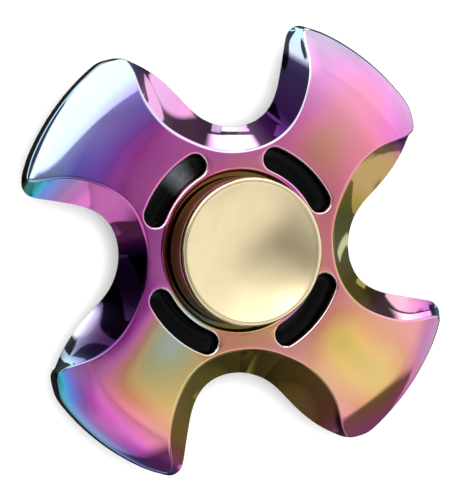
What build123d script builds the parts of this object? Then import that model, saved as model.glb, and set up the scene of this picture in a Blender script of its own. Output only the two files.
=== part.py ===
from build123d import *
import math
import os

# Four-armed fidget spinner, lying flat. Millimetres, +Z is the spin axis, and the origin is the
# centre of the bearing. Arm 1 points along +X, arms 2 to 4 follow it anticlockwise seen from +Z.
# The caps and the bearing's inner ring are held still between two fingers; everything else turns.

# Rotor body: a pinwheel casting, the same above and below its mid-plane
ARM_COUNT = 4
ARM_STEP = 360 / ARM_COUNT
RIM_R = 30.75                 # outer edge of the arms
FACE_Z = 2.5                  # height of the flat hub face over the mid-plane
FACE_FLAT_R = 15.0            # the faces are flat to this radius, then crown down to the rim
CROWN = [(22.0, 2.38), (26.5, 2.0), (29.4, 1.32), (31.0, 0.5)]   # (radius, height) of the crown
CROWN_END_WAY = (0.75, -1)    # the crown's slope at its last point
EDGE_R = 0.3                  # rounding where the bevels meet the faces

# One arm's outline at the mid-plane: trailing corner, rim, leading tip and flared leading side,
# the bottom of the notch, then the straight trailing side of the next arm (in that arm's own frame)
CORNER = (28.0, -8.75)
CORNER_MID = (29.55, -7.0)
CORNER_WAY = (0.85, 0.6)
RIM_START = -11.0             # degrees
RIM_END = 18.5
TIP_SHOULDER = (28.4, 11.45)
TIP = (27.7, 12.65)
TIP_WAY = (-0.9, 0.55)
FLARE = [(26.4, 13.0), (25.0, 12.4), (21.7, 10.35), (18.3, 8.7), (16.2, 8.45), (14.2, 9.0)]
NOTCH_BOTTOM = (11.55, 11.2)
TRAILING_SIDE = [(15.0, -9.95), (19.0, -10.05), (24.8, -9.75)]

# The same arm at the height of the hub face, where the bevels end
FACE_RIM_END = 14.5
FACE_TIP_SHOULDER = (29.2, 9.15)
FACE_TIP = (28.25, 10.6)
FACE_FLARE = [(25.0, 7.95), (22.0, 6.45), (19.0, 5.5), (16.0, 5.3), (13.2, 6.05)]
FACE_NOTCH_BOTTOM = (9.45, 8.75)
FACE_SIDE = [(11.0, -7.7), (14.6, -6.15), (18.0, -5.35), (21.0, -5.4), (23.8, -6.2), (26.2, -7.65)]

# Hub
SLOT_R = 12.7                 # radius of each curved slot's centre line
SLOT_W = 3.0
SLOT_SPAN = 38.5              # degrees between the centres of the slot's round ends
SLOT_EDGE_R = 0.25
INLAY_RECESS = 0.9            # how far the black inlay lies below each face
INLAY_GAP = 0.02
RECESS_R = 10.3               # annular recess round the bearing seat, under each cap
RECESS_FLOOR_Z = 1.4
RECESS_EDGE_R = 0.4
BOSS_R = 7.7

# Ball bearing of inch size R188
BEARING_R = 6.35
BEARING_BORE_R = 3.175
BEARING_HALF_W = 2.38125
SEAT_GAP = 0.01
BALL_COUNT = 10
BALL_STEP = 360 / BALL_COUNT
BALL_R = 0.79375
PITCH_R = 4.7625
GROOVE_R = 0.83
INNER_LAND_R = 4.2
OUTER_LAND_R = 5.3
RING_CHAMFER = 0.15
SHIELD_SEAT_R = 5.75
SHIELD_SEAT_Z = 1.85
SHIELD_R = 5.72
SHIELD_BORE_R = 4.4
SHIELD_T = 0.2
SNAP_RING_BORE_R = 5.42
SNAP_RING_T = 0.24
SNAP_RING_OPENING = 24.0      # degrees
CAGE_R = 5.05
CAGE_BORE_R = 4.45
CAGE_BACK_Z = -1.4
CAGE_FRONT_Z = 0.72
POCKET_R = 0.83
STACK_GAP = 0.01              # between flat faces that lie on each other

# Finger caps
CAP_R = 9.65
CAP_TOP_Z = 6.7
CAP_SKIRT_Z = 2.0             # lower edge of the skirt, inside the recess
CAP_SKIRT_BORE_R = 8.35
CAP_UNDERSIDE_Z = 3.3
CAP_SHOULDER_R = 3.85         # boss that bears on the inner ring
DISH_R = 9.0
DISH_DEPTH = 0.85
CAP_EDGE_R = 0.25
CAP_LINE_Z = 6.0              # decorative line turned into the cap's side
CAP_LINE_DEPTH = 0.15
CAP_LINE_W = 0.3
SLEEVE_GAP = 0.01
SLEEVE_TOP_Z = 2.2
SLEEVE_FLOOR_Z = -2.6
STEM_R = 2.0
STEM_BORE_R = 2.02
STEM_END_Z = -2.2
STEM_CHAMFER = 0.4


def turned(point, degrees):
    """A plan point turned about the spin axis."""
    a = math.radians(degrees)
    x, y = point
    return (x * math.cos(a) - y * math.sin(a), x * math.sin(a) + y * math.cos(a))


def turned_all(points, degrees):
    return [turned(p, degrees) for p in points]


def outline(z, rim_end, tip_shoulder, tip, flare, notch_bottom, side):
    """Closed pinwheel wire at height z: corner, rim, tip and notch edges for each arm."""
    edges = []
    for arm in range(ARM_COUNT):
        here = arm * ARM_STEP
        rim_start = turned((RIM_R, 0), RIM_START)
        rim_middle = turned((RIM_R, 0), (RIM_START + rim_end) / 2)
        rim_stop = turned((RIM_R, 0), rim_end)
        corner = turned_all([CORNER, CORNER_MID, rim_start], here)
        corner_ways = turned_all([CORNER_WAY, turned((0, 1), RIM_START)], here)
        lead = turned_all([rim_stop, tip_shoulder, tip], here)
        lead_ways = turned_all([turned((0, 1), rim_end), TIP_WAY], here)
        notch = turned_all([tip] + flare + [notch_bottom], here) + turned_all(side + [CORNER], here + ARM_STEP)
        edges.append(Spline(corner, tangents=corner_ways))
        edges.append(ThreePointArc(*turned_all([rim_start, rim_middle, rim_stop], here)))
        edges.append(Spline(lead, tangents=lead_ways))
        edges.append(Spline(notch))
    return Pos(0, 0, z) * Wire(edges)


def rod(radius, low_z, high_z):
    """Plain cylinder about the spin axis."""
    return Pos(0, 0, (low_z + high_z) / 2) * Cylinder(radius, high_z - low_z)


def ring(outer_r, inner_r, low_z, high_z):
    """Plain ring about the spin axis."""
    return rod(outer_r, low_z, high_z) - rod(inner_r, low_z, high_z)


def mirrored(shape):
    """The shape's image below the mid-plane."""
    return mirror(shape, about=Plane.XY)


def circles(shape, radius, z):
    """Circular edges of the given radius at height z."""
    found = shape.edges().filter_by(GeomType.CIRCLE)
    return [e for e in found if abs(e.radius - radius) < 0.01 and abs(e.center().Z - z) < 0.01]


def slot_block(width, height):
    """Block with the plan of one curved slot on arm 1, centred on the mid-plane."""
    arc = CenterArc((0, 0), SLOT_R, -SLOT_SPAN / 2, SLOT_SPAN)
    return extrude(SlotArc(arc, width), height / 2, both=True)


def crown_disc():
    """Disc whose upper face is flat at the hub and crowns down to the rim."""
    edge_r, edge_z = CROWN[-1]
    flat = Line((0, FACE_Z), (FACE_FLAT_R, FACE_Z))
    crown = Spline([(FACE_FLAT_R, FACE_Z)] + CROWN, tangents=[(1, 0), CROWN_END_WAY])
    rest = Polyline((edge_r, edge_z), (edge_r, 0), (0, 0), (0, FACE_Z))
    return revolve(make_face(Plane.XZ * Curve([flat, crown, rest])), Axis.Z)


def bevel_edges(half):
    """The long edges where the bevels and the rim meet the crowned face."""
    return [e for e in half.edges() if e.center().Z > 0.3 and e.geom_type != GeomType.CIRCLE and e.length > 8]


def slot_edges(half):
    """The edges of the slots in the hub face."""
    found = [e for e in half.edges().filter_by(GeomType.CIRCLE) if abs(e.center().Z - FACE_Z) < 0.01]
    radii = (SLOT_W / 2, SLOT_R - SLOT_W / 2, SLOT_R + SLOT_W / 2)
    return [e for e in found if min(abs(e.radius - r) for r in radii) < 0.01]


def spinner_body():
    """Pinwheel casting with its bearing seat, cap recesses and slots."""
    low = outline(0, RIM_END, TIP_SHOULDER, TIP, FLARE, NOTCH_BOTTOM, TRAILING_SIDE)
    high = outline(FACE_Z, FACE_RIM_END, FACE_TIP_SHOULDER, FACE_TIP, FACE_FLARE, FACE_NOTCH_BOTTOM, FACE_SIDE)
    half = Solid.make_loft([low, high], ruled=True) & crown_disc()
    half = fillet(bevel_edges(half), EDGE_R)
    half -= ring(RECESS_R, BOSS_R, RECESS_FLOOR_Z, FACE_Z + 1)
    half -= Cylinder(BEARING_R + SEAT_GAP, 4 * FACE_Z)
    for arm in range(ARM_COUNT):
        half -= Rot(0, 0, arm * ARM_STEP) * slot_block(SLOT_W, 4 * FACE_Z)
    half = fillet(circles(half, RECESS_R, FACE_Z), RECESS_EDGE_R)
    half = fillet(slot_edges(half), SLOT_EDGE_R)
    return half + mirrored(half)


def slot_inlay(arm):
    """Black inlay that fills one slot, set below both faces."""
    return Rot(0, 0, arm * ARM_STEP) * slot_block(SLOT_W - 2 * INLAY_GAP, 2 * (FACE_Z - INLAY_RECESS))


def bearing_outer_ring():
    """Outer race with its ball groove and a seat for a shield at each side."""
    race = ring(BEARING_R, OUTER_LAND_R, -BEARING_HALF_W, BEARING_HALF_W)
    race = chamfer(circles(race, BEARING_R, BEARING_HALF_W) + circles(race, BEARING_R, -BEARING_HALF_W), RING_CHAMFER)
    seat = ring(SHIELD_SEAT_R, OUTER_LAND_R - 0.5, SHIELD_SEAT_Z, BEARING_HALF_W)
    return race - Torus(PITCH_R, GROOVE_R) - seat - mirrored(seat)


def bearing_inner_ring():
    """Inner race with its ball groove."""
    race = ring(INNER_LAND_R, BEARING_BORE_R, -BEARING_HALF_W, BEARING_HALF_W)
    bore_edges = circles(race, BEARING_BORE_R, BEARING_HALF_W) + circles(race, BEARING_BORE_R, -BEARING_HALF_W)
    return chamfer(bore_edges, RING_CHAMFER) - Torus(PITCH_R, GROOVE_R)


def ball(index):
    return Rot(0, 0, index * BALL_STEP) * Pos(PITCH_R, 0, 0) * Sphere(BALL_R)


def ball_cage():
    """Crown cage: a ring with a pocket for each ball, open to one side."""
    cage = ring(CAGE_R, CAGE_BORE_R, CAGE_BACK_Z, CAGE_FRONT_Z)
    for index in range(BALL_COUNT):
        cage -= Rot(0, 0, index * BALL_STEP) * Pos(PITCH_R, 0, 0) * Rot(0, 90, 0) * Cylinder(POCKET_R, 2)
    return cage


def shield():
    """Thin washer that closes the top side of the bearing."""
    low = SHIELD_SEAT_Z + STACK_GAP
    return ring(SHIELD_R, SHIELD_BORE_R, low, low + SHIELD_T)


def snap_ring():
    """Split flat ring that keeps the shield in its seat."""
    low = SHIELD_SEAT_Z + SHIELD_T + 2 * STACK_GAP
    mouth_width = 2 * SHIELD_R * math.sin(math.radians(SNAP_RING_OPENING / 2))
    return ring(SHIELD_R, SNAP_RING_BORE_R, low, low + SNAP_RING_T) - Pos(SHIELD_R, 0, low) * Box(2, mouth_width, 2)


def cap_disc():
    """Finger cap without its stem or sleeve: a dished disc with a skirt, and a shoulder for the inner ring."""
    disc = rod(CAP_R, CAP_SKIRT_Z, CAP_TOP_Z)
    disc = fillet(circles(disc, CAP_R, CAP_TOP_Z) + circles(disc, CAP_R, CAP_SKIRT_Z), CAP_EDGE_R)
    dish_sphere_r = (DISH_R ** 2 + DISH_DEPTH ** 2) / (2 * DISH_DEPTH)
    disc -= Pos(0, 0, CAP_TOP_Z - DISH_DEPTH + dish_sphere_r) * Sphere(dish_sphere_r)
    disc -= ring(CAP_R + 1, CAP_R - CAP_LINE_DEPTH, CAP_LINE_Z - CAP_LINE_W / 2, CAP_LINE_Z + CAP_LINE_W / 2)
    disc -= rod(CAP_SKIRT_BORE_R, CAP_SKIRT_Z, CAP_UNDERSIDE_Z)
    return disc + rod(CAP_SHOULDER_R, BEARING_HALF_W + STACK_GAP, CAP_UNDERSIDE_Z)


def cap_top():
    """Upper cap, whose stem screws into the sleeve of the lower cap."""
    stem = rod(STEM_R, STEM_END_Z, CAP_UNDERSIDE_Z)
    stem = chamfer(circles(stem, STEM_R, STEM_END_Z), STEM_CHAMFER)
    return cap_disc() + stem


def cap_bottom():
    """Lower cap, whose sleeve fills the bore of the inner ring."""
    sleeve = rod(BEARING_BORE_R - SLEEVE_GAP, -CAP_UNDERSIDE_Z, SLEEVE_TOP_Z)
    return mirrored(cap_disc()) + sleeve - rod(STEM_BORE_R, SLEEVE_FLOOR_Z, CAP_TOP_Z)


def parts():
    """Every sub-part by its node name."""
    made = {"cap_top": cap_top(), "cap_bottom": cap_bottom(), "spinner_body": spinner_body()}
    for arm in range(ARM_COUNT):
        made[f"slot_inlay_{arm + 1}"] = slot_inlay(arm)
    made["bearing_outer_ring"] = bearing_outer_ring()
    made["bearing_inner_ring"] = bearing_inner_ring()
    made["ball_cage"] = ball_cage()
    for index in range(BALL_COUNT):
        made[f"ball_{index + 1}"] = ball(index)
    made["shield_top"] = shield()
    made["shield_bottom"] = mirrored(shield())
    made["snap_ring_top"] = snap_ring()
    made["snap_ring_bottom"] = mirrored(snap_ring())
    return made


os.makedirs("parts", exist_ok=True)
for name, shape in parts().items():
    export_step(shape, f"parts/{name}.step")
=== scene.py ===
import bmesh
import bpy
import math
import numpy as np
from mathutils import Matrix, Vector


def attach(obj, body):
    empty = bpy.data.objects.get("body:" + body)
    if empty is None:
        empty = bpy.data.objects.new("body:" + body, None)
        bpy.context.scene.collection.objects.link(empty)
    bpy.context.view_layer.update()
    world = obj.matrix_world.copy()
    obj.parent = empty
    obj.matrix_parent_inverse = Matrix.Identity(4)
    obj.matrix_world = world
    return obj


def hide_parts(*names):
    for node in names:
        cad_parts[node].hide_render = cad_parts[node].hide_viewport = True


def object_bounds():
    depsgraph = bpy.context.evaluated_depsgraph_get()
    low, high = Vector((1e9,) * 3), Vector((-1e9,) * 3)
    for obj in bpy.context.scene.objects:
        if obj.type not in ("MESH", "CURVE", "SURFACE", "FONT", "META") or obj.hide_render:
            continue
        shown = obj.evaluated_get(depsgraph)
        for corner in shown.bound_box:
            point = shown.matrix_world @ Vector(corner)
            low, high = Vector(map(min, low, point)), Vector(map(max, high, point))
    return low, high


# Fidget spinner with a rainbow-coated rotor and champagne gold finger caps. The shapes are worked
# out in millimetres in the part's own frame, +Z up the spin axis, and stored in metres.

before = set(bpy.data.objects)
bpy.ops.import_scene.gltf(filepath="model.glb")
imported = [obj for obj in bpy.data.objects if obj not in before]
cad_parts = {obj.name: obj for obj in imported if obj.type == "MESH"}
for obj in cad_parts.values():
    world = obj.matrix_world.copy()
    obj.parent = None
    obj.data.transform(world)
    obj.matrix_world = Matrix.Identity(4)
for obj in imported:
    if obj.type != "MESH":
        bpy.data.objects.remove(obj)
cad_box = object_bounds()
MM = 0.001

# ---------------------------------------------------------------- rotor shape
ARMS = 4
RIM_R = 30.75                 # outer edge of the arms
FACE_Z = 2.5                  # flat hub face over the mid-plane
FACE_FLAT_R = 15.0            # the faces crown down from here to the rim
CROWN = [(22.0, 2.38), (26.5, 2.0), (29.4, 1.32), (31.0, 0.5)]   # (radius, height)
CROWN_END_WAY = (0.75, -1)

# The first arm's outline at the mid-plane, anticlockwise: trailing corner, rim, leading tip, notch, and
# the next arm's side
RIM_START = -11.0             # degrees
CORNER = (28.0, -8.75)
CORNER_MID = (29.55, -7.0)
CORNER_WAY = (0.85, 0.6)
TIP_WAY = (-0.9, 0.55)
LOW = {
    "rim_end": 18.5, "shoulder": (28.4, 11.45), "tip": (27.7, 12.65), "bottom": (11.55, 11.2),
    "flare": [(26.4, 13.0), (25.0, 12.4), (21.7, 10.35), (18.3, 8.7), (16.2, 8.45), (14.2, 9.0)],
    "side": [(15.0, -9.95), (19.0, -10.05), (24.8, -9.75)],
}
HIGH = {                      # the same at the height of the hub face, where the bevels end
    "rim_end": 14.5, "shoulder": (29.2, 9.15), "tip": (28.25, 10.6), "bottom": (9.45, 8.75),
    "flare": [(25.0, 7.95), (22.0, 6.45), (19.0, 5.5), (16.0, 5.3), (13.2, 6.05)],
    "side": [(11.0, -7.7), (14.6, -6.15), (18.0, -5.35), (21.0, -5.4), (23.8, -6.2), (26.2, -7.65)],
}
EDGE = 0.25                   # rounding of the creases, measured along each face
EDGE_BEND_SHARE = 0.55        # the rounding is at most this share of the crease's own bend radius
EDGE_WALL_SHARE = 0.4         # and this share of the bevel's width
RIDGE = 0.1                   # rounding of the ridge at the mid-plane
HOLLOW = 0.03                 # how hollow the bevels are, as a share of their plan width
SLOT_R = 12.7
SLOT_HALF_W = 1.5
SLOT_HALF_SPAN = math.radians(19.25)
SLOT_EDGE = 0.28
RECESS_R = 10.3
RECESS_EDGE = 0.4
RECESS_FLOOR = 1.4
BOSS_R = 7.7
BORE_R = 6.36
SEAT_EDGE = 0.1

ROWS = 44                     # mesh rows along an arm's side
COLS = 44                     # mesh columns across an arm
INNER = 24                    # columns round the recess, per arm
SPOKE = 6                     # columns from the recess to each notch
HUB_ROWS = 12                 # rows of each side that border the hub's face
SECTOR = COLS + 2 * ROWS      # points of the outline that belong to one arm
EDGE_STEPS = 6
WALL_STEPS = 8
ROUND_STEPS = 4               # of every smaller rounded edge
WELD = 1e-4                   # points nearer than this are one point
CROWN_SAMPLES = 400
SAMPLES = 200                 # of each curve round an arm's end
NOTCH_SAMPLES = 1200
OUTLINE_BLUR = 2              # passes that even out the outline
CREASE_HALVINGS = 40          # steps of the search for the crease's height
EDGE_BLUR = 6                 # passes that even out how far the crease is rounded


def turned(points, degrees):
    """Plan points turned about the spin axis."""
    a = math.radians(degrees)
    p = np.asarray(points, float)
    x, y = p[..., 0], p[..., 1]
    return np.stack([x * math.cos(a) - y * math.sin(a), x * math.sin(a) + y * math.cos(a)], -1)


def spline(points, samples, start=None, end=None):
    """Points along a cubic spline through the given plan points, with optional end directions."""
    p = np.asarray(points, float)
    t = np.concatenate([[0], np.cumsum(np.linalg.norm(np.diff(p, axis=0), axis=1))])
    h = np.diff(t)
    n = len(p)
    a = np.zeros((n, n))
    b = np.zeros((n, 2))
    slope = np.diff(p, axis=0) / h[:, None]
    for i in range(1, n - 1):
        a[i, i - 1:i + 2] = h[i - 1], 2 * (h[i - 1] + h[i]), h[i]
        b[i] = 6 * (slope[i] - slope[i - 1])
    a[0, 0] = a[-1, -1] = 1
    if start is not None:
        a[0, :2] = 2 * h[0], h[0]
        b[0] = 6 * (slope[0] - np.array(start) / np.linalg.norm(start))
    if end is not None:
        a[-1, -2:] = h[-1], 2 * h[-1]
        b[-1] = 6 * (np.array(end) / np.linalg.norm(end) - slope[-1])
    m = np.linalg.solve(a, b)
    x = np.linspace(0, t[-1], samples)
    i = np.clip(np.searchsorted(t, x, side="right") - 1, 0, n - 2)
    u = ((t[i + 1] - x) / h[i])[:, None]
    v = 1 - u
    k = (h[i] ** 2 / 6)[:, None]
    return u * p[i] + v * p[i + 1] + k * ((u ** 3 - u) * m[i] + (v ** 3 - v) * m[i + 1])


def evenly(points, steps):
    """The polyline resampled to that many equal steps, end points kept."""
    along = np.concatenate([[0], np.cumsum(np.linalg.norm(np.diff(points, axis=0), axis=1))])
    s = np.linspace(0, along[-1], steps + 1)
    return np.stack([np.interp(s, along, points[:, k]) for k in range(2)], 1)


CROWN_LINE = spline([(FACE_FLAT_R, FACE_Z)] + CROWN, CROWN_SAMPLES, (1, 0), CROWN_END_WAY)


def crown(r):
    """Height of the upper face at radius r."""
    return np.where(r <= FACE_FLAT_R, FACE_Z, np.interp(r, CROWN_LINE[:, 0], CROWN_LINE[:, 1]))


def on_crown(xy):
    """Plan points lifted onto the upper face."""
    return np.concatenate([xy, crown(np.linalg.norm(xy, axis=-1))[..., None]], -1)


def lifted(xy, z):
    return np.concatenate([xy, np.full(xy.shape[:-1] + (1,), float(z))], -1)


def outline(level):
    """Closed pinwheel outline: each arm's rim, its leading side and the next arm's trailing side."""
    rim_end = level["rim_end"]
    start_way, end_way = turned((0, 1), RIM_START), turned((0, 1), rim_end)
    rim = np.stack([turned((RIM_R, 0), d) for d in np.linspace(RIM_START, rim_end, SAMPLES)])
    corner = spline([CORNER, CORNER_MID, rim[0]], SAMPLES, CORNER_WAY, start_way)
    lead = spline([rim[-1], level["shoulder"], level["tip"]], SAMPLES, end_way, TIP_WAY)
    beyond = [tuple(p) for p in turned(level["side"] + [CORNER], 90)]
    notch = spline([level["tip"]] + level["flare"] + [level["bottom"]] + beyond, NOTCH_SAMPLES)
    deepest = np.argmin(np.linalg.norm(notch - level["bottom"], axis=1))
    outer = evenly(np.concatenate([corner[:-1], rim[:-1], lead]), COLS)
    leading, trailing = evenly(notch[:deepest + 1], ROWS), evenly(notch[deepest:], ROWS)
    sector = np.concatenate([outer[:-1], leading[:-1], trailing[:-1]])
    loop = np.concatenate([turned(sector, 90 * k) for k in range(ARMS)])
    for _ in range(OUTLINE_BLUR):
        loop = 0.5 * loop + 0.25 * (np.roll(loop, 1, axis=0) + np.roll(loop, -1, axis=0))
    return loop


def crease(low, high):
    """Where each bevel's straight line from the low to the high outline meets the crowned face."""
    below, above = np.zeros(len(low)), np.ones(len(low))
    for _ in range(CREASE_HALVINGS):
        middle = (below + above) / 2
        p = low + (high - low) * middle[:, None]
        over = FACE_Z * middle > crown(np.linalg.norm(p, axis=1))
        above = np.where(over, middle, above)
        below = np.where(over, below, middle)
    share = ((below + above) / 2)[:, None]
    return np.concatenate([low + (high - low) * share, FACE_Z * share], 1)


def bend(a, corner, b, steps):
    """Rows of points that round a corner from a to b."""
    t = np.linspace(0, 1, steps + 1)[:, None, None]
    return (1 - t) ** 2 * a + 2 * t * (1 - t) * corner + t ** 2 * b


# ---------------------------------------------------------------- rotor finish, with painted highlight and shade
# The coating's hue is a number from 0 to 1 along FILM_HUES and its paleness the share of
# PAINTED_ICE_HIGHLIGHT in it;
# the paleness is painted highlight, pale reflection of bright light. On the faces both run from the
# hub to the rim, along three lines of each arm: its trailing crease, its middle and its leading crease.
FACE_RADII = (11, 13.8, 16, 19, 22, 25, 27.5, 29.3, 30.8)
HALF_WIDTH = [(11, 5.5), (20, 5.5), (28, 8.5), (31, 9.5)]     # (radius, from middle to creases)
ARM_REACH = 63.0              # an arm's finish fades out this many degrees from its middle
ARM_FADE = 36.0               # and starts to fade this many degrees nearer
ARM_HUES = [
    [(0.35, 0.36, 0.36, 0.37, 0.37, 0.44, 0.51, 0.53, 0.47),
     (0.51, 0.41, 0.31, 0.30, 0.37, 0.40, 0.41, 0.48, 0.52),
     (0.38, 0.45, 0.43, 0.44, 0.46, 0.49, 0.52, 0.54, 0.67)],
    [(0.42, 0.47, 0.47, 0.54, 0.70, 0.71, 0.80, 0.84, 0.86),
     (0.40, 0.44, 0.48, 0.55, 0.69, 0.72, 0.80, 0.83, 0.86),
     (0.49, 0.51, 0.46, 0.56, 0.68, 0.75, 0.79, 0.82, 0.86)],
    [(0.49, 0.55, 0.54, 0.57, 0.57, 0.50, 0.69, 1.00, 1.00),
     (0.00, 0.00, 0.01, 0.09, 0.18, 0.35, 0.49, 0.55, 0.96),
     (0.31, 0.29, 0.16, 0.15, 0.18, 0.28, 0.40, 0.56, 0.75)],
    [(0.25, 0.34, 0.33, 0.27, 0.27, 0.32, 0.36, 0.41, 0.50),
     (0.56, 0.39, 0.23, 0.13, 0.15, 0.16, 0.20, 0.33, 0.48),
     (0.30, 0.36, 0.32, 0.28, 0.31, 0.31, 0.35, 0.47, 0.47)],
]
# Paleness of each arm's face along those lines: painted highlight.
ARM_PAINTED_HIGHLIGHT = [
    [(0.02, 0.00, 0.00, 0.03, 0.02, 0.03, 0.13, 0.27, 0.38),
     (0.00, 0.00, 0.06, 0.11, 0.11, 0.13, 0.14, 0.21, 0.45),
     (0.08, 0.02, 0.00, 0.02, 0.15, 0.24, 0.31, 0.46, 0.56)],
    [(0.00, 0.03, 0.02, 0.04, 0.04, 0.12, 0.40, 0.45, 0.50),
     (0.00, 0.00, 0.00, 0.03, 0.03, 0.14, 0.40, 0.45, 0.50),
     (0.06, 0.00, 0.00, 0.05, 0.01, 0.00, 0.30, 0.45, 0.50)],
    [(0.08, 0.03, 0.00, 0.00, 0.04, 0.14, 0.13, 0.00, 0.00),
     (0.43, 0.54, 0.45, 0.21, 0.12, 0.00, 0.00, 0.14, 0.35),
     (0.06, 0.11, 0.14, 0.11, 0.10, 0.12, 0.06, 0.03, 0.10)],
    [(0.08, 0.11, 0.12, 0.13, 0.16, 0.16, 0.03, 0.00, 0.00),
     (0.00, 0.00, 0.07, 0.03, 0.06, 0.11, 0.09, 0.00, 0.00),
     (0.08, 0.03, 0.08, 0.10, 0.12, 0.14, 0.14, 0.24, 0.51)],
]
# On the bevels hue, paleness and darkness run from the tip to the notch (LEADING) and on from the
# notch to the next arm's corner (TRAILING). Paleness is painted highlight; darkness is painted shade,
# standing for dark reflections.
BEVEL_STOPS = (0, 0.1, 0.2, 0.25, 0.32, 0.46, 0.6, 0.74, 0.87, 1.0)
LEADING = [
    [(1.00, 0.85, 0.67, 0.69, 0.72, 0.67, 0.67, 0.65, 0.53, 0.52),
     (0.60, 0.68, 0.72, 0.20, 0.08, 0.05, 0.00, 0.00, 0.33, 0.60),
     (0.00, 0.00, 0.05, 0.88, 0.90, 0.90, 0.90, 0.30, 0.10, 0.00)],
    [(1.00, 0.97, 0.78, 0.70, 0.58, 0.48, 0.47, 0.48, 0.48, 0.74),
     (0.11, 0.00, 0.16, 0.18, 0.21, 0.07, 0.07, 0.03, 0.00, 0.00),
     (0.08, 0.08, 0.00, 0.00, 0.00, 0.00, 0.00, 0.00, 0.09, 0.97)],
    [(0.85, 0.41, 0.27, 0.22, 0.18, 0.14, 0.12, 0.12, 0.12, 0.13),
     (0.16, 0.00, 0.02, 0.02, 0.03, 0.01, 0.00, 0.00, 0.00, 0.00),
     (0.00, 0.09, 0.06, 0.08, 0.12, 0.16, 0.27, 0.29, 0.16, 0.04)],
    [(0.95, 0.58, 0.46, 0.43, 0.41, 0.38, 0.14, 0.08, 0.06, 0.02),
     (0.50, 0.12, 0.14, 0.21, 0.32, 0.36, 0.00, 0.00, 0.00, 0.01),
     (0.00, 0.00, 0.15, 0.11, 0.06, 0.19, 0.47, 0.42, 0.20, 0.01)],
]
TRAILING = [
    [(0.50, 0.60, 0.52, 0.48, 0.43, 0.47, 0.48, 0.46, 0.69, 1.00),
     (0.60, 0.34, 0.25, 0.25, 0.24, 0.28, 0.35, 0.34, 0.09, 0.00),
     (0.00, 0.05, 0.03, 0.02, 0.00, 0.03, 0.00, 0.00, 0.03, 0.00)],
    [(0.66, 0.67, 0.65, 0.66, 0.67, 0.64, 0.64, 0.72, 0.92, 0.98),
     (0.00, 0.00, 0.00, 0.02, 0.05, 0.04, 0.06, 0.08, 0.60, 0.40),
     (0.98, 0.99, 0.99, 0.985, 0.97, 0.80, 0.86, 0.72, 0.00, 0.00)],
    [(0.13, 0.15, 0.17, 0.18, 0.18, 0.19, 0.24, 0.30, 0.41, 0.50),
     (0.00, 0.00, 0.00, 0.00, 0.00, 0.01, 0.05, 0.00, 0.00, 0.07),
     (0.44, 0.95, 0.94, 0.92, 0.90, 0.88, 0.87, 0.84, 0.81, 0.17)],
    [(0.02, 0.06, 0.06, 0.09, 0.13, 0.20, 0.18, 0.23, 0.57, 0.87),
     (0.00, 0.00, 0.00, 0.00, 0.01, 0.13, 0.09, 0.17, 0.03, 0.00),
     (0.05, 0.19, 0.26, 0.19, 0.10, 0.00, 0.00, 0.00, 0.00, 0.00)],
]
# The bevel of TRAILING[RIDGE_SIDE] also gains or loses painted highlight (paleness) and painted
# shade (darkness) towards its ridge.
RIDGE_SIDE = 1
RIDGE_PAINTED_HIGHLIGHT = (0, 0, 0, 0, 0, 0.50, 0.80, 0.80, 0.40, 0)
RIDGE_PAINTED_SHADE = (0, 0, 0, 0, 0, -0.80, -0.86, -0.60, 0.90, 0.90)
# Extra paleness of the rounded crease, a painted highlight: along each arm's rim, and along the
# notch after it
CREASE_PAINTED_HIGHLIGHT = [(0.4, 0.6), (0.5, 0.02), (0.15, 0.1), (0.1, 0.12)]
CREASE_BLUR = 20              # passes that blend those values into each other
RIM_PAINTED_SHADE = 0.97               # the narrow band round the arms' ends is painted nearly black: painted shade, standing for a dark reflection
# What other parts of the rotor add to the (hue, paleness, darkness) of the face beside them: a
# painted highlight on the slots' edges, painted shade on the slots' walls and the bearing seat
SLOT_EDGE_GAIN = (-0.06, 0.5, 0)
SLOT_WALL_PAINTED_SHADE = (0, 0, 0.6)
SEAT_GAIN = (-0.18, 0, 0.65)
SEAT_SPREAD = 1.06            # the seat takes the face's finish from this much further out


def smooth(x):
    x = np.clip(x, 0, 1)
    return x * x * (3 - 2 * x)


def face_hue_and_painted_light(xy):
    """(hue, paleness, darkness) of the upper face at plan points; the paleness is painted highlight."""
    r = np.linalg.norm(xy, axis=-1)
    angle = np.degrees(np.arctan2(xy[..., 1], xy[..., 0]))
    half = np.interp(r, *zip(*HALF_WIDTH))
    hue, painted_highlight, total = np.zeros_like(r), np.zeros_like(r), np.zeros_like(r)
    for arm in range(ARMS):
        off = (angle - 90 * arm + 180) % 360 - 180
        weight = smooth((ARM_REACH - np.abs(off)) / ARM_FADE)
        across = r * np.sin(np.radians(off)) / half
        shares = smooth(-across), 1 - smooth(np.abs(across)), smooth(across)
        for share, hues, painted_highlights in zip(shares, ARM_HUES[arm], ARM_PAINTED_HIGHLIGHT[arm]):
            hue += weight * share * np.interp(r, FACE_RADII, hues)
            painted_highlight += weight * share * np.interp(r, FACE_RADII, painted_highlights)
        total += weight
    return np.stack([hue / total, painted_highlight / total, np.zeros_like(r)], -1)


def bevel_hue_and_painted_light():
    """(hue, paleness, darkness) of the bevel at each point of the outline; paleness is painted
    highlight and darkness painted shade.
    """
    s = np.linspace(0, 1, ROWS + 1)[:-1]
    found = []
    for arm in range(ARMS):
        rim_hue = np.linspace(TRAILING[arm - 1][0][-1], LEADING[arm][0][0], COLS + 1)[:-1]
        # The band round the arm's end: painted shade, nearly black.
        found.append(np.stack([rim_hue, np.zeros(COLS), np.full(COLS, RIM_PAINTED_SHADE)], -1))
        for table in (LEADING[arm], TRAILING[arm]):
            found.append(np.stack([np.interp(s, BEVEL_STOPS, values) for values in table], -1))
    return np.concatenate(found)


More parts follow.
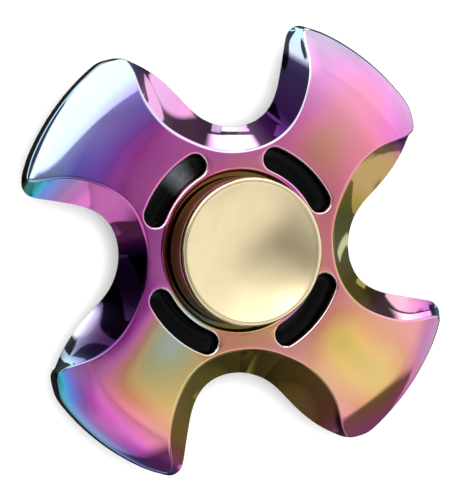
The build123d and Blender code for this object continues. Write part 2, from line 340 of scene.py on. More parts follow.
def ridge_painted_light():
    """The painted highlight and painted shade that the bevels gain towards the ridge, at each point of
    the outline.
    """
    extra = np.zeros((ARMS * SECTOR, 3))
    start = (RIDGE_SIDE + 1) * SECTOR - ROWS
    s = np.linspace(0, 1, ROWS + 1)[:-1]
    extra[start:start + ROWS, 1] = np.interp(s, BEVEL_STOPS, RIDGE_PAINTED_HIGHLIGHT)
    extra[start:start + ROWS, 2] = np.interp(s, BEVEL_STOPS, RIDGE_PAINTED_SHADE)
    return extra


def crease_painted_highlight():
    """Extra paleness of the crease, a painted highlight, at each point of the outline."""
    painted_highlight = np.concatenate([np.repeat(values, (COLS, 2 * ROWS)) for values in CREASE_PAINTED_HIGHLIGHT])
    for _ in range(CREASE_BLUR):
        painted_highlight = 0.5 * painted_highlight + 0.25 * (np.roll(painted_highlight, 1) + np.roll(painted_highlight, -1))
    return painted_highlight[:, None] * (0, 1, 0)


def grid_quads(rows, columns, closed):
    """Quads of a grid of points numbered row by row. In a closed one each row joins its own start."""
    across = columns if closed else columns - 1
    i, j = np.meshgrid(np.arange(rows - 1), np.arange(across), indexing="ij")
    k = (j + 1) % columns
    corners = [i * columns + j, i * columns + k, (i + 1) * columns + k, (i + 1) * columns + j]
    return np.stack(corners, -1).reshape(-1, 4)


class Surface:
    """Quads gathered patch by patch, with the finish at every point: hue, painted highlight (paleness)
    and painted shade (darkness).
    """

    def __init__(self):
        self.points, self.finish, self.quads = [], [], []
        self.count = 0

    def add(self, points, finish, closed=False):
        """A patch of rows of points. In a closed patch each row joins up with its own start."""
        rows, columns, _ = points.shape
        self.points.append(points.reshape(-1, 3))
        self.finish.append(np.broadcast_to(finish, points.shape).reshape(-1, 3))
        self.quads.append(grid_quads(rows, columns, closed) + self.count)
        self.count += rows * columns

    def both_sides(self):
        """Points, quads and finish with the half below the mid-plane added and the seams welded."""
        points, quads = np.concatenate(self.points), np.concatenate(self.quads)
        finish = np.concatenate(self.finish)
        points = np.concatenate([points, points * (1, 1, -1)])
        quads = np.concatenate([quads, quads + self.count])
        finish = np.concatenate([finish, finish])
        keys = np.round(points / WELD).astype(np.int64)
        _, first, same = np.unique(keys, axis=0, return_index=True, return_inverse=True)
        return points[first], same.reshape(-1)[quads], finish[first]


def arm_face(surface, arm, edge):
    """Crowned face of one arm, between its creases and the hub, and the hub face round its slot."""
    n = len(edge)
    start = arm * SECTOR
    far = edge[np.arange(start, start + COLS + 1) % n]
    right_side = edge[np.arange(start + COLS, start + COLS + ROWS + 1) % n][::-1]
    left_side = edge[np.arange(start - ROWS, start + 1) % n]
    left, right = left_side[HUB_ROWS:], right_side[HUB_ROWS:]
    a0, a1 = (math.atan2(p[1], p[0]) for p in (left[0], right[0]))
    a1 += 2 * math.pi if a1 < a0 else 0
    u = np.linspace(0, 1, COLS + 1)
    r0, r1 = np.linalg.norm(left[0, :2]), np.linalg.norm(right[0, :2])
    base = r0 + (r1 - r0) * u
    r = base + (FACE_FLAT_R - base) * (1 - np.abs(2 * u - 1) ** 4)
    angle = a0 + (a1 - a0) * u
    near = np.stack([r * np.cos(angle), r * np.sin(angle)], 1)
    u, v = u[None, :, None], np.linspace(0, 1, len(left))[:, None, None]
    plan = (1 - v) * near + v * far[None, :, :2] + (1 - u) * left[:, None, :2] + u * right[:, None, :2]
    left_ends = (1 - v) * left[0, :2] + v * left[-1, :2]
    right_ends = (1 - v) * right[0, :2] + v * right[-1, :2]
    plan = plan - (1 - u) * left_ends - u * right_ends
    face = on_crown(plan)
    face[0, :, 2] = FACE_Z
    face[:, 0], face[:, -1], face[-1] = left, right, far
    surface.add(face, face_hue_and_painted_light(face[..., :2]))

    middle = arm * math.pi / 2
    lip = RECESS_R + RECESS_EDGE
    angle = np.linspace(middle - math.pi / 4, middle + math.pi / 4, INNER + 1)
    arc = lip * np.stack([np.cos(angle), np.sin(angle)], 1)
    w = np.linspace(0, 1, SPOKE + 1)[:, None]
    notches = left_side[0, :2], right_side[0, :2]
    border = np.concatenate([
        near[:0:-1], left_side[HUB_ROWS:0:-1, :2], (notches[0] + (arc[0] - notches[0]) * w)[:-1],
        arc[:-1], (arc[-1] + (notches[1] - arc[-1]) * w)[:-1], right_side[:HUB_ROWS, :2],
    ])
    off = (np.arctan2(border[:, 1], border[:, 0]) - middle + math.pi) % (2 * math.pi) - math.pi
    angle = np.clip(off, -SLOT_HALF_SPAN, SLOT_HALF_SPAN) + middle
    centre = SLOT_R * np.stack([np.cos(angle), np.sin(angle)], 1)
    way = border - centre
    way /= np.linalg.norm(way, axis=1, keepdims=True)
    outer, wall = centre + way * (SLOT_HALF_W + SLOT_EDGE), centre + way * SLOT_HALF_W
    g = np.linspace(0, 1, 5)[:, None, None]
    hub = border[None] * (1 - g) + outer[None] * g
    surface.add(lifted(hub, FACE_Z), face_hue_and_painted_light(hub), closed=True)
    foot = lifted(wall, FACE_Z - SLOT_EDGE)
    rounded = bend(lifted(outer, FACE_Z), lifted(wall, FACE_Z), foot, ROUND_STEPS)
    # Slot edges: painted highlight.
    surface.add(rounded, face_hue_and_painted_light(rounded[..., :2]) + SLOT_EDGE_GAIN, closed=True)
    sides = np.stack([lifted(wall, z) for z in np.linspace(FACE_Z - SLOT_EDGE, 0, 4)])
    # Slot walls: painted shade.
    surface.add(sides, face_hue_and_painted_light(sides[..., :2]) + SLOT_WALL_PAINTED_SHADE, closed=True)


def bearing_seat(surface):
    """Recess, boss and bore at the middle of the hub: a turned profile."""
    e = SEAT_EDGE
    corners = [
        ((RECESS_R + RECESS_EDGE, FACE_Z), (RECESS_R, FACE_Z), (RECESS_R, FACE_Z - RECESS_EDGE)),
        ((RECESS_R, RECESS_FLOOR + e), (RECESS_R, RECESS_FLOOR), (RECESS_R - e, RECESS_FLOOR)),
        ((BOSS_R + e, RECESS_FLOOR), (BOSS_R, RECESS_FLOOR), (BOSS_R, RECESS_FLOOR + e)),
        ((BOSS_R, FACE_Z - e), (BOSS_R, FACE_Z), (BOSS_R - e, FACE_Z)),
        ((BORE_R + e, FACE_Z), (BORE_R, FACE_Z), (BORE_R, FACE_Z - e)),
    ]
    profile = [bend(*(np.array(p, float) for p in c), ROUND_STEPS)[:, 0] for c in corners]
    profile.append(np.array([(BORE_R, 0.0)]))
    angle = np.linspace(-math.pi / 4, 2 * math.pi - math.pi / 4, ARMS * INNER + 1)[:-1]
    around = np.stack([np.cos(angle), np.sin(angle)], 1)
    rings = np.stack([lifted(r * around, z) for r, z in np.concatenate(profile)])
    # Bearing seat: painted shade and a shifted hue.
    surface.add(rings, face_hue_and_painted_light(rings[..., :2] * SEAT_SPREAD) + SEAT_GAIN, closed=True)


def rotor_surface():
    """The whole rotor: rounded creases, hollow bevels, crowned faces, slots and the bearing seat."""
    low, high = outline(LOW), outline(HIGH)
    corner = crease(low, high)
    along = np.roll(corner, -1, axis=0) - np.roll(corner, 1, axis=0)
    t = along[:, :2] / np.linalg.norm(along[:, :2], axis=1, keepdims=True)
    inward = np.stack([-t[:, 1], t[:, 0]], 1)
    heading = np.arctan2(t[:, 1], t[:, 0])
    turn = np.roll(heading, -1) - np.roll(heading, 1)
    turn = np.abs((turn + math.pi) % (2 * math.pi) - math.pi)
    bend_r = np.linalg.norm(along[:, :2], axis=1) / np.maximum(turn, 1e-6)
    e = np.minimum(EDGE, EDGE_BEND_SHARE * bend_r)
    for _ in range(EDGE_BLUR):
        e = np.minimum(e, 0.5 * e + 0.25 * (np.roll(e, 1) + np.roll(e, -1)))
    e = e[:, None]
    top = on_crown(corner[:, :2] + inward * e)
    foot = lifted(low, 0)
    length = np.linalg.norm(foot - corner, axis=1, keepdims=True)
    down = (foot - corner) / length
    start, stop = corner + down * np.minimum(e, EDGE_WALL_SHARE * length), foot - down * RIDGE
    outside = np.cross(along, -down)
    outside *= np.sign(outside[:, 2:] + 1e-9) / np.linalg.norm(outside, axis=1, keepdims=True)

    surface = Surface()
    face, bevel, ridge = face_hue_and_painted_light(top[:, :2]), bevel_hue_and_painted_light(), ridge_painted_light()
    t = np.linspace(0, 1, EDGE_STEPS + 1)[:, None, None]
    # The rounded crease gets an extra painted highlight along its middle.
    rounding = face + (bevel - face) * smooth(t) + crease_painted_highlight() * np.sin(math.pi * t)
    surface.add(bend(top, corner, start, EDGE_STEPS), rounding, closed=True)
    k = np.linspace(0, 1, WALL_STEPS + 1)[:, None, None]
    width = np.linalg.norm((corner - foot)[:, :2], axis=1, keepdims=True)
    wall = start * (1 - k) + stop * k - outside * 4 * k * (1 - k) * HOLLOW * width
    # One bevel gains painted highlight and painted shade towards its ridge.
    surface.add(wall, bevel + ridge * k ** 3, closed=True)
    upper_half = bend(stop, foot, stop * (1, 1, -1), ROUND_STEPS)[:ROUND_STEPS // 2 + 1]
    surface.add(upper_half, bevel + ridge, closed=True)
    for arm in range(ARMS):
        arm_face(surface, arm, top)
    bearing_seat(surface)
    return surface.both_sides()


# ---------------------------------------------------------------- mesh and material helpers
def solid(name, points, faces, body, material, replaced, values=None):
    """A smooth-shaded piece on a CAD body. values are numbers at each point, by attribute name.
    Its normals are weighted by area, so that wide faces stay true beside their rounded edges."""
    corners = [list(dict.fromkeys(face)) for face in faces.tolist()]
    mesh = bpy.data.meshes.new(name)
    mesh.from_pydata((points * MM).tolist(), [], [c for c in corners if len(c) > 2])
    shape = bmesh.new()
    shape.from_mesh(mesh)
    bmesh.ops.recalc_face_normals(shape, faces=shape.faces)
    normals = []
    for v in shape.verts:
        weighted = sum((f.normal * f.calc_area() for f in v.link_faces), Vector())
        normals.append(weighted.normalized())
    shape.to_mesh(mesh)
    shape.free()
    mesh.shade_smooth()
    mesh.normals_split_custom_set_from_vertices(normals)
    for key, numbers in (values or {}).items():
        attribute = mesh.attributes.new(key, "FLOAT", "POINT")
        attribute.data.foreach_set("value", numbers.astype(np.float32))
    piece = bpy.data.objects.new(name, mesh)
    bpy.context.scene.collection.objects.link(piece)
    mesh.materials.append(material)
    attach(piece, body)
    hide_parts(replaced)


def srgb(r, g, b):
    """A colour given as 0 to 255 on screen, as the shader's own linear numbers."""
    c = [x / 255 for x in (r, g, b)]
    return [x / 12.92 if x <= 0.04045 else ((x + 0.055) / 1.055) ** 2.4 for x in c] + [1.0]


class Nodes:
    """Shorthand for building a node tree."""

    def __init__(self, tree):
        self.tree = tree

    def put(self, node, key, value):
        socket = node.inputs[key]
        if isinstance(value, bpy.types.NodeSocket):
            self.tree.links.new(value, socket)
        else:
            socket.default_value = value

    def node(self, kind, inputs=None, **settings):
        made = self.tree.nodes.new("ShaderNode" + kind)
        for key, value in settings.items():
            setattr(made, key, value)
        for key, value in (inputs or {}).items():
            self.put(made, key, value)
        return made

    def math(self, operation, a, b=0.0, clamp=False):
        return self.node("Math", {0: a, 1: b}, operation=operation, use_clamp=clamp).outputs[0]

    def dot(self, a, vector):
        inputs = {0: a, 1: tuple(vector)}
        return self.node("VectorMath", inputs, operation="DOT_PRODUCT").outputs["Value"]

    def span(self, value, low, high, out_low, out_high):
        """value's smooth step from out_low at low to out_high at high."""
        inputs = {"Value": value, "From Min": low, "From Max": high,
                  "To Min": out_low, "To Max": out_high}
        return self.node("MapRange", inputs, interpolation_type="SMOOTHSTEP").outputs["Result"]


class Finish(Nodes):
    """A new material, its node tree and its shader."""

    def __init__(self, name):
        self.material = bpy.data.materials.new(name)
        self.material.use_nodes = True
        super().__init__(self.material.node_tree)
        self.shader = self.tree.nodes["Principled BSDF"]

    def attribute(self, name):
        return self.node("Attribute", attribute_name=name).outputs["Fac"]

    def place(self):
        return self.node("TexCoord").outputs["Object"]

    def noise(self, size, detail=3.0, rough=0.5):
        """Noise from 0 to 1 whose features are about size millimetres across."""
        inputs = {"Vector": self.place(), "Scale": 1 / (size * MM),
                  "Detail": detail, "Roughness": rough}
        return self.node("TexNoise", inputs).outputs["Fac"]

    def ramp(self, value, stops):
        made = self.node("ValToRGB", {"Fac": value})
        elements = made.color_ramp.elements
        while len(elements) < len(stops):
            elements.new(0.5)
        for element, (at, color) in zip(elements, stops):
            element.position = at
            element.color = color
        return made.outputs["Color"]

    def mix(self, share, a, b, kind="MIX"):
        made = self.node("Mix", data_type="RGBA", blend_type=kind)
        self.put(made, 0, share)
        self.put(made, 6, a)
        self.put(made, 7, b)
        return made.outputs[2]

    def bump(self, height, depth):
        """Bumps of that height in millimetres."""
        made = self.node("Bump", {"Height": height, "Distance": depth * MM})
        self.put(self.shader, "Normal", made.outputs["Normal"])

    def finish(self, **values):
        for key, value in values.items():
            self.put(self.shader, key.replace("_", " "), value)
        return self.material


# ---------------------------------------------------------------- materials
# The coating's colours, as (hue, colour on screen)
FILM_HUES = [
    (0.00, (176, 186, 150)), (0.09, (196, 186, 92)), (0.19, (232, 186, 96)), (0.29, (226, 146, 104)),
    (0.40, (250, 136, 178)), (0.47, (240, 118, 212)), (0.55, (182, 58, 172)), (0.64, (132, 52, 160)),
    (0.74, (112, 92, 196)), (0.84, (84, 132, 226)), (0.93, (66, 178, 214)), (1.00, (44, 140, 110)),
]
# Pale colour that paleness mixes in: painted highlight.
PAINTED_ICE_HIGHLIGHT = (226, 246, 252)


def rainbow_metal():
    """Mirror-polished casting under a thin interference coating, with painted highlight and painted
    shade in its colour.
    """
    m = Finish("rainbow_coating")
    drift = m.math("MULTIPLY", m.math("SUBTRACT", m.noise(6.0, 2.0), 0.5), 0.05)
    fine = m.math("MULTIPLY", m.math("SUBTRACT", m.noise(0.5, 4.0), 0.5), 0.012)
    film = m.math("ADD", m.attribute("hue"), m.math("ADD", drift, fine), clamp=True)
    coat = m.ramp(film, [(at, srgb(*c)) for at, c in FILM_HUES])
    # Paleness: painted highlight, mixing the coat towards the pale ice colour.
    coat = m.mix(m.attribute("painted_highlight"), coat, srgb(*PAINTED_ICE_HIGHLIGHT))
    # Darkness: painted shade, multiplying the coat towards black.
    painted_shade = m.math("SUBTRACT", 1.0, m.attribute("painted_shade"), clamp=True)
    grey = m.node("CombineColor", {0: painted_shade, 1: painted_shade, 2: painted_shade}).outputs[0]
    coat = m.mix(1.0, coat, grey, "MULTIPLY")
    rough = m.span(m.noise(1.6, 5.0), 0.3, 0.7, 0.02, 0.045)
    m.bump(m.noise(0.35, 4.0), 0.0006)
    return m.finish(Base_Color=coat, Metallic=1.0, Roughness=rough)


def radius_of(m):
    """Distance from the spin axis, in millimetres."""
    parts = m.node("SeparateXYZ", {0: m.place()}).outputs
    squares = m.math("ADD", m.math("POWER", parts[0], 2.0), m.math("POWER", parts[1], 2.0))
    return m.math("MULTIPLY", m.math("SQRT", squares), 1 / MM)


def height_of(m):
    """Distance from the mid-plane, in millimetres."""
    z = m.node("SeparateXYZ", {0: m.place()}).outputs[2]
    return m.math("MULTIPLY", m.math("ABSOLUTE", z), 1 / MM)


def band(m, value, centre, near, far):
    """1 within near of the centre, 0 beyond far of it."""
    off = m.math("ABSOLUTE", m.math("SUBTRACT", value, centre))
    return m.span(off, near, far, 1.0, 0.0)


GOLD_RIM_R = (8.9, 9.05)              # radii between which the dish gives way to the polished rim
GOLD_SHADED_SIDE_Z = (6.5, 6.64)             # heights between which the side, painted darker as painted shade, gives way to the rim
GOLD_GROOVE_SHADE = (6.06, 0.18, 0.3)       # the groove painted near black as painted shade: height, half width and half width with the soft edge
# A pale line painted below the groove as a painted highlight: height, half width and half width with
# the soft edge
GOLD_LIP_HIGHLIGHT = (5.66, 0.04, 0.14)
GOLD_PITCH = 0.12                     # from one turning mark to the next


def gold_satin():
    """Champagne gold: satin dish with faint turning marks, polished rim, side with a groove, painted
    darker as shade.
    """
    m = Finish("champagne_gold")
    r, z = radius_of(m), height_of(m)
    rim = m.span(r, *GOLD_RIM_R, 0.0, 1.0)
    side = m.math("MULTIPLY", rim, m.span(z, *GOLD_SHADED_SIDE_Z, 1.0, 0.0))
    groove = m.math("MULTIPLY", side, band(m, z, *GOLD_GROOVE_SHADE))
    lip = m.math("MULTIPLY", side, band(m, z, *GOLD_LIP_HIGHLIGHT))
    rings = m.math("ADD", r, m.math("MULTIPLY", m.noise(3.0), 0.05))
    turning = m.math("SINE", m.math("MULTIPLY", rings, 2 * math.pi / GOLD_PITCH))
    grain = m.noise(0.09, 4.0, 0.6)
    blotches = m.span(m.noise(2.5, 3.0), 0.3, 0.7, 0.0, 1.0)
    color = m.mix(blotches, srgb(240, 221, 179), srgb(243, 225, 184))
    # The polished rim's colour is also painted a little paler: partly a painted highlight.
    color = m.mix(rim, color, srgb(246, 230, 186))
    # The side is painted darker brown: painted shade.
    shaded = m.mix(m.noise(1.2, 4.0), srgb(92, 58, 28), srgb(106, 70, 38))
    color = m.mix(side, color, shaded)
    # A pale line on the side: painted highlight.
    color = m.mix(lip, color, srgb(236, 214, 166))
    # The groove painted near black: painted shade.
    color = m.mix(groove, color, srgb(16, 11, 8))
    rough = m.math("ADD", m.span(r, *GOLD_RIM_R, 0.165, 0.09), m.math("MULTIPLY", grain, 0.05))
    rough = m.math("ADD", rough, m.math("MULTIPLY", side, 0.22))
    m.bump(m.math("ADD", grain, m.math("MULTIPLY", turning, 0.12)), 0.0018)
    metal = m.math("SUBTRACT", 1.0, m.math("MULTIPLY", side, 0.3))
    return m.finish(Base_Color=color, Metallic=metal, Roughness=rough)


def black_resin():
    """Glossy black inlay, greyer with a painted sheen where the haze attribute says so."""
    m = Finish("black_inlay")
    color = m.mix(m.noise(0.8, 4.0), srgb(1, 1, 1), srgb(6, 6, 7))
    uneven = m.span(m.noise(0.7, 4.0, 0.6), 0.2, 0.8, 0.24, 0.42)
    # Painted sheen: grey painted on, standing for a reflection.
    color = m.mix(m.math("MULTIPLY", m.attribute("painted_sheen"), uneven), color, srgb(122, 124, 130))
    rough = m.span(m.noise(0.5, 4.0), 0.3, 0.7, 0.10, 0.2)
    m.bump(m.noise(0.6, 3.0), 0.002)
    return m.finish(Base_Color=color, Roughness=rough, Specular_IOR_Level=0.06)


def turned_steel(name, color, other, low, high, pitch, depth):
    """Bearing metal with turned lines round the axis and faint stains: its two colours, its lowest and
    highest roughness, and its lines' pitch and depth in millimetres."""
    m = Finish(name)
    wavy = m.math("ADD", radius_of(m), m.math("MULTIPLY", m.noise(2.0), 0.04))
    lines = m.math("SINE", m.math("MULTIPLY", wavy, 2 * math.pi / pitch))
    stains = m.span(m.noise(0.9, 5.0, 0.6), 0.35, 0.7, 0.0, 1.0)
    shade = m.mix(stains, srgb(*color), srgb(*other))
    rough = m.span(m.noise(0.4, 5.0, 0.6), 0.3, 0.7, low, high)
    m.bump(m.math("ADD", m.math("MULTIPLY", lines, 0.3), m.noise(0.12, 4.0)), depth)
    return m.finish(Base_Color=shade, Metallic=1.0, Roughness=rough)


# ---------------------------------------------------------------- pieces
rainbow, gold, resin = rainbow_metal(), gold_satin(), black_resin()

# finish holds, at every point, the coating's hue, its paleness as painted highlight and its darkness as
# painted shade.
points, faces, finish = rotor_surface()
solid("rotor_casting", points, faces, "rotor", rainbow, "spinner_body",
      {"hue": finish[:, 0], "painted_highlight": finish[:, 1], "painted_shade": finish[:, 2]})

# Caps: closed profiles (radius, height) from the axis round to the axis, with the edge's reach at each
# corner
CAP_R, CAP_TOP, CAP_SKIRT, CAP_BORE, CAP_UNDER = 9.65, 6.7, 2.0, 8.35, 3.3
DISH_R, DISH_DEPTH, DISH_RINGS = 9.0, 0.85, 22
LINE_Z, LINE_HALF_W, LINE_DEPTH = 6.0, 0.15, 0.15
AROUND = 160


def rounded_profile(corners):
    """Profile points with each corner (radius, height, edge) rounded."""
    found = []
    for i, (r, z, edge) in enumerate(corners):
        p = np.array((r, z))
        if edge == 0 or i in (0, len(corners) - 1):
            found.append(p)
            continue
        before, after = (np.array(corners[k][:2]) for k in (i - 1, i + 1))
        a = p + (before - p) / np.linalg.norm(before - p) * edge
        b = p + (after - p) / np.linalg.norm(after - p) * edge
        found += list(bend(a, p, b, ROUND_STEPS)[:, 0])
    return np.array(found)


def lathe(profile):
    """Points and quads of a profile that starts and ends on the axis, turned about it. Each pole is
    closed by quads that take in two columns of the ring beside it."""
    angle = np.linspace(0, 2 * math.pi, AROUND + 1)[:-1]
    around = np.stack([np.cos(angle), np.sin(angle)], 1)
    rings = np.stack([lifted(r * around, z) for r, z in profile[1:-1]])
    n = len(rings)
    points = np.concatenate([rings.reshape(-1, 3), [(0, 0, profile[0][1]), (0, 0, profile[-1][1])]])
    quads = grid_quads(n, AROUND, True)
    pairs = np.arange(0, AROUND, 2)
    pole = np.full(len(pairs), n * AROUND)
    first = np.stack([pairs, (pairs + 1) % AROUND, (pairs + 2) % AROUND, pole], -1)
    last = first + (n - 1) * AROUND
    last[:, 3] = n * AROUND + 1
    return points, np.concatenate([quads, first, last])


def dish():
    """The dished top face, from the axis to its edge."""
    sphere = (DISH_R ** 2 + DISH_DEPTH ** 2) / (2 * DISH_DEPTH)
    r = np.concatenate([[0, 0.15], np.linspace(0.45, DISH_R, DISH_RINGS)])
    return [(x, CAP_TOP - DISH_DEPTH + sphere - math.sqrt(sphere ** 2 - x ** 2), 0) for x in r]


def cap_profile(core):
    """Outside of a finger cap down to its shoulder, then its stem or sleeve."""
    over, under, bottom = LINE_Z + LINE_HALF_W, LINE_Z - LINE_HALF_W, CAP_R - LINE_DEPTH
    rim = [
        (DISH_R + 0.12, CAP_TOP, 0.05), (CAP_R, CAP_TOP, 0.3),
        (CAP_R, over, 0.04), (bottom, over, 0.03), (bottom, under, 0.03), (CAP_R, under, 0.04),
        (CAP_R, CAP_SKIRT, 0.25), (CAP_BORE, CAP_SKIRT, 0.2), (CAP_BORE, CAP_UNDER, 0.15),
    ]
    return rounded_profile(dish() + rim + core)


# Both caps have the same shoulder, over the bearing's inner ring
SHOULDER = [(3.85, CAP_UNDER, 0.1), (3.85, 2.395, 0.1)]
STEM = SHOULDER + [(2.0, 2.395, 0.1), (2.0, -1.8, 0.1), (1.6, -2.2, 0.1), (0, -2.2, 0)]
SLEEVE = SHOULDER + [
    (3.16, 2.395, 0.1), (3.16, -2.2, 0.1), (2.03, -2.2, 0.1), (2.03, 2.6, 0.1), (0, 2.6, 0),
]
points, faces = lathe(cap_profile(STEM))
solid("finger_cap_upper", points, faces, "caps", gold, "cap_top")
points, faces = lathe(cap_profile(SLEEVE))
solid("finger_cap_lower", points * (1, 1, -1), faces, "caps", gold, "cap_bottom")

INLAY_HALF_W = 1.48
INLAY_TOP = 1.6
INLAY_DOME = 0.22             # how far the dome falls to its edge
SHEEN_PAINTED_INLAY, PAINTED_SHEEN_ANGLE, PAINTED_SHEEN_HALF_SPAN = 1, 82.0, 11.5     # the inlay painted greyer as a painted sheen, and where on it (degrees)
# (share of the half width, height) up the inlay's side, then the shares across its dome
INLAY_ROWS = [(1.0, 0.0), (1.0, 0.5), (1.0, 1.0), (1.0, 1.3), (0.97, 1.37)]
DOME_SHARES = (0.9, 0.75, 0.6, 0.45, 0.3, 0.15, 0.0)
INLAY_ALONG = 25              # points along each side of an inlay
INLAY_END = 11                # points round each end, between those


def inlay(arm):
    """Poured inlay of one slot, domed towards its middle line."""
    middle = arm * math.pi / 2
    along = np.linspace(middle - SLOT_HALF_SPAN, middle + SLOT_HALF_SPAN, INLAY_ALONG)
    first, last = along[0], along[-1]
    end = np.linspace(0, math.pi, INLAY_END + 2)[1:-1]
    line = np.concatenate([along, np.full(INLAY_END, last), along[::-1], np.full(INLAY_END, first)])
    way = np.concatenate([along, last + end, along[::-1] + math.pi, first + math.pi + end])
    line, way = (np.stack([np.cos(a), np.sin(a)], 1) for a in (line, way))
    rows = INLAY_ROWS + [(share, INLAY_TOP - INLAY_DOME * share ** 2) for share in DOME_SHARES]
    rows = [lifted(SLOT_R * line + way * INLAY_HALF_W * share, z) for share, z in rows]
    surface = Surface()
    surface.add(np.stack(rows), (0, 0, 0), closed=True)
    return surface.both_sides()


for arm in range(ARMS):
    points, faces, _ = inlay(arm)
    angle = np.degrees(np.arctan2(points[:, 1], points[:, 0]))
    # Painted sheen: one inlay is painted greyer over a span of angles, standing for a reflection.
    painted_sheen = smooth(1 - np.abs(angle - PAINTED_SHEEN_ANGLE) / PAINTED_SHEEN_HALF_SPAN) * (arm == SHEEN_PAINTED_INLAY)
    solid(f"slot_fill_{arm + 1}", points, faces, "rotor", resin, f"slot_inlay_{arm + 1}",
          {"painted_sheen": painted_sheen})

# The bearing keeps its CAD meshes. Each node takes the first entry that its name starts with.
RING = (196, 198, 202), (168, 170, 176), 0.12, 0.24, 0.09, 0.0012
BEARING = {
    "bearing_outer_ring": ("ring_steel", *RING),
    "bearing_inner_ring": ("ring_steel_inner", *RING),
    "shield": ("shield_steel", (178, 180, 184), (146, 148, 154), 0.2, 0.34, 0.14, 0.002),
    "snap_ring": ("snap_ring_steel", (120, 122, 128), (96, 98, 104), 0.28, 0.42, 0.2, 0.002),
    "ball_cage": ("cage_brass", (206, 168, 96), (172, 132, 70), 0.24, 0.4, 0.16, 0.002),
    "ball_": ("ball_steel", (222, 224, 228), (204, 206, 210), 0.03, 0.07, 0.05, 0.0004),
}
metals = {start: turned_steel(*settings) for start, settings in BEARING.items()}
for name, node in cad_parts.items():
    start = next((key for key in metals if name.startswith(key)), None)
    if start:
        node.data.materials.clear()
        node.data.materials.append(metals[start])

# ---------------------------------------------------------------- camera, studio and floor
# The photograph's camera: its axes in the part's frame, and its place
CAM_RIGHT = Vector((0.6107, -0.7055, 0.3597))
CAM_UP = Vector((0.7661, 0.6413, -0.0429))
CAM_BACK = Vector((-0.2004, 0.3017, 0.9321))
CAM_PLACE = Vector((-114.4, 172.1, 530.4)) * MM
cam_data = bpy.data.cameras.new("camera")
cam = bpy.data.objects.new("camera", cam_data)
bpy.context.scene.collection.objects.link(cam)
cam_turn = Matrix((CAM_RIGHT, CAM_UP, CAM_BACK)).transposed()
cam.matrix_world = Matrix.Translation(CAM_PLACE) @ cam_turn.to_4x4()
cam_data.sensor_fit = "AUTO"
cam_data.sensor_width = 36
cam_data.lens = 315
cam_data.clip_start = 0.01
bpy.context.scene.camera = cam
bpy.context.scene.view_settings.view_transform = "Standard"

# Softboxes, in degrees right of and above the camera's axis: place, (half width, half height), roll,
# (soft edge across, soft edge up), and brightness
SOFTBOXES = [
    ((65.0, -0.7), (11.8, 37.9), -50.0, (5.6, 4.6), 1.02),
    ((53.3, 34.1), (21.4, 18.6), 5.4, (2.5, 2.8), 1.16),
    ((18.0, 25.2), (16.5, 18.2), 9.5, (2.2, 0.8), 2.40),
    ((7.5, -25.6), (21.1, 20.9), 42.5, (13.6, 1.8), 0.88),
    ((21.5, 7.6), (20.6, 5.0), -23.4, (2.4, 4.7), 0.74),
    ((57.6, -0.5), (14.6, 20.9), 8.5, (8.7, 1.5), 1.01),
    ((33.4, 77.2), (5.9, 16.0), -61.7, (0.8, 3.5), 3.20),
    ((-10.2, -74.2), (21.4, 30.0), 9.4, (13.4, 1.7), 0.63),
    ((80.4, -22.4), (7.5, 27.1), -7.1, (0.6, 4.0), 0.65),
    ((115.9, -2.4), (11.7, 2.4), 33.9, (1.6, 1.1), 1.20),
    ((-29.3, 30.0), (10.3, 34.0), 0.0, (1.0, 0.6), 1.35),
    ((-21.0, 69.4), (10.8, 14.8), -25.9, (0.6, 0.6), 1.34),
    ((8.8, 56.6), (19.6, 23.0), 10.3, (2.4, 1.8), 0.24),
    ((81.4, 20.5), (6.8, 24.0), 21.2, (0.6, 0.6), 1.13),
    ((19.0, -75.3), (7.0, 15.2), -11.8, (1.0, 2.8), 0.93),
    ((110.1, -6.5), (38.2, 80.0), -38.6, (13.8, 9.5), 0.19),
    ((52.2, 58.9), (6.2, 3.5), -67.6, (0.8, 0.8), 1.35),
    ((43.5, 20.1), (9.2, 15.3), -13.1, (4.9, 13.8), 1.71),
    ((32.2, 65.6), (1.7, 12.0), -66.5, (0.4, 1.0), 2.00),
    ((-10.3, 41.8), (20.0, 2.1), -53.0, (1.0, 0.6), 1.50),
]
STUDIO_DARK = 0.074           # brightness between the softboxes
BACKDROP = 0.9                # and of what the camera itself sees past the floor
FACING = 0.01                 # a softbox shows only where the direction faces it by more than this


def studio_way(x, y):
    """World direction that lies x degrees right of and y degrees above the camera's axis, measured on a
    flat map that keeps distances from the axis true."""
    away = math.hypot(x, y)
    side = math.sin(math.radians(away)) / max(away, 1e-6)
    ahead = CAM_BACK * math.cos(math.radians(away))
    return (CAM_RIGHT * x * side + CAM_UP * y * side + ahead).normalized()


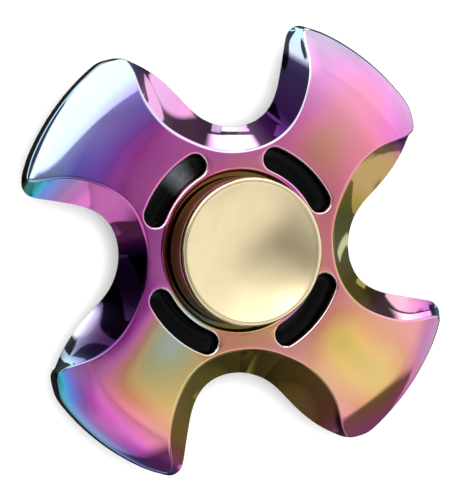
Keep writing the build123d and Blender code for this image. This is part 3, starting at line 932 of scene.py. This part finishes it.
def softbox(sky, way, place, halves, roll, softness, power):
    """Brightness that one softbox gives the direction way."""
    centre = studio_way(*place)
    right = CAM_RIGHT - centre * CAM_RIGHT.dot(centre)
    right = (Matrix.Rotation(math.radians(roll), 3, centre) @ right).normalized()
    up = centre.cross(right)
    ahead = sky.math("MAXIMUM", sky.dot(way, centre), 0.001)   # never zero, to divide by
    inside = sky.math("GREATER_THAN", sky.dot(way, centre), FACING)
    for axis, half, soft in zip((right, up), halves, softness):
        off = sky.math("ABSOLUTE", sky.math("DIVIDE", sky.dot(way, axis), ahead))
        near, far = (math.tan(math.radians(half + d)) for d in (-soft, soft))
        inside = sky.math("MULTIPLY", inside, sky.span(off, near, far, 1.0, 0.0))
    return sky.math("MULTIPLY", inside, power)


world = bpy.data.worlds.new("studio")
bpy.context.scene.world = world
world.use_nodes = True
sky = Nodes(world.node_tree)
background = world.node_tree.nodes["Background"]
way = sky.node("TexCoord").outputs["Generated"]
light = STUDIO_DARK
for box in SOFTBOXES:
    light = sky.math("MAXIMUM", light, softbox(sky, way, *box))
seen = sky.node("LightPath").outputs["Is Camera Ray"]
reflected = sky.math("MULTIPLY", light, sky.math("SUBTRACT", 1.0, seen))
shown = sky.math("ADD", reflected, sky.math("MULTIPLY", seen, BACKDROP))
sky.put(background, "Strength", shown)
background.inputs["Color"].default_value = (1, 1, 1, 1)

lamp_data = bpy.data.lights.new("floor_light", "AREA")
lamp_data.size = 0.9
lamp_data.energy = 14
lamp = bpy.data.objects.new("floor_light", lamp_data)
bpy.context.scene.collection.objects.link(lamp)
lamp.location = (-0.15, 0.25, 0.9)
lamp.rotation_euler = (-lamp.location).to_track_quat("-Z", "Y").to_euler()
lamp.visible_glossy = False

FLOOR_HALF = 1.5              # metres
m = Finish("pale_floor")
m.bump(m.noise(1.5, 4.0), 0.01)
paint = m.mix(m.noise(40.0, 3.0), srgb(240, 240, 240), srgb(246, 246, 246))
m.finish(Base_Color=paint, Roughness=0.8)
floor_z = cad_box[0][2]
floor_mesh = bpy.data.meshes.new("floor")
around = ((-1, -1), (1, -1), (1, 1), (-1, 1))
floor_corners = [(x * FLOOR_HALF, y * FLOOR_HALF, floor_z) for x, y in around]
floor_mesh.from_pydata(floor_corners, [], [(0, 1, 2, 3)])
floor_mesh.materials.append(m.material)
floor = bpy.data.objects.new("floor", floor_mesh)
bpy.context.scene.collection.objects.link(floor)
floor.visible_glossy = False
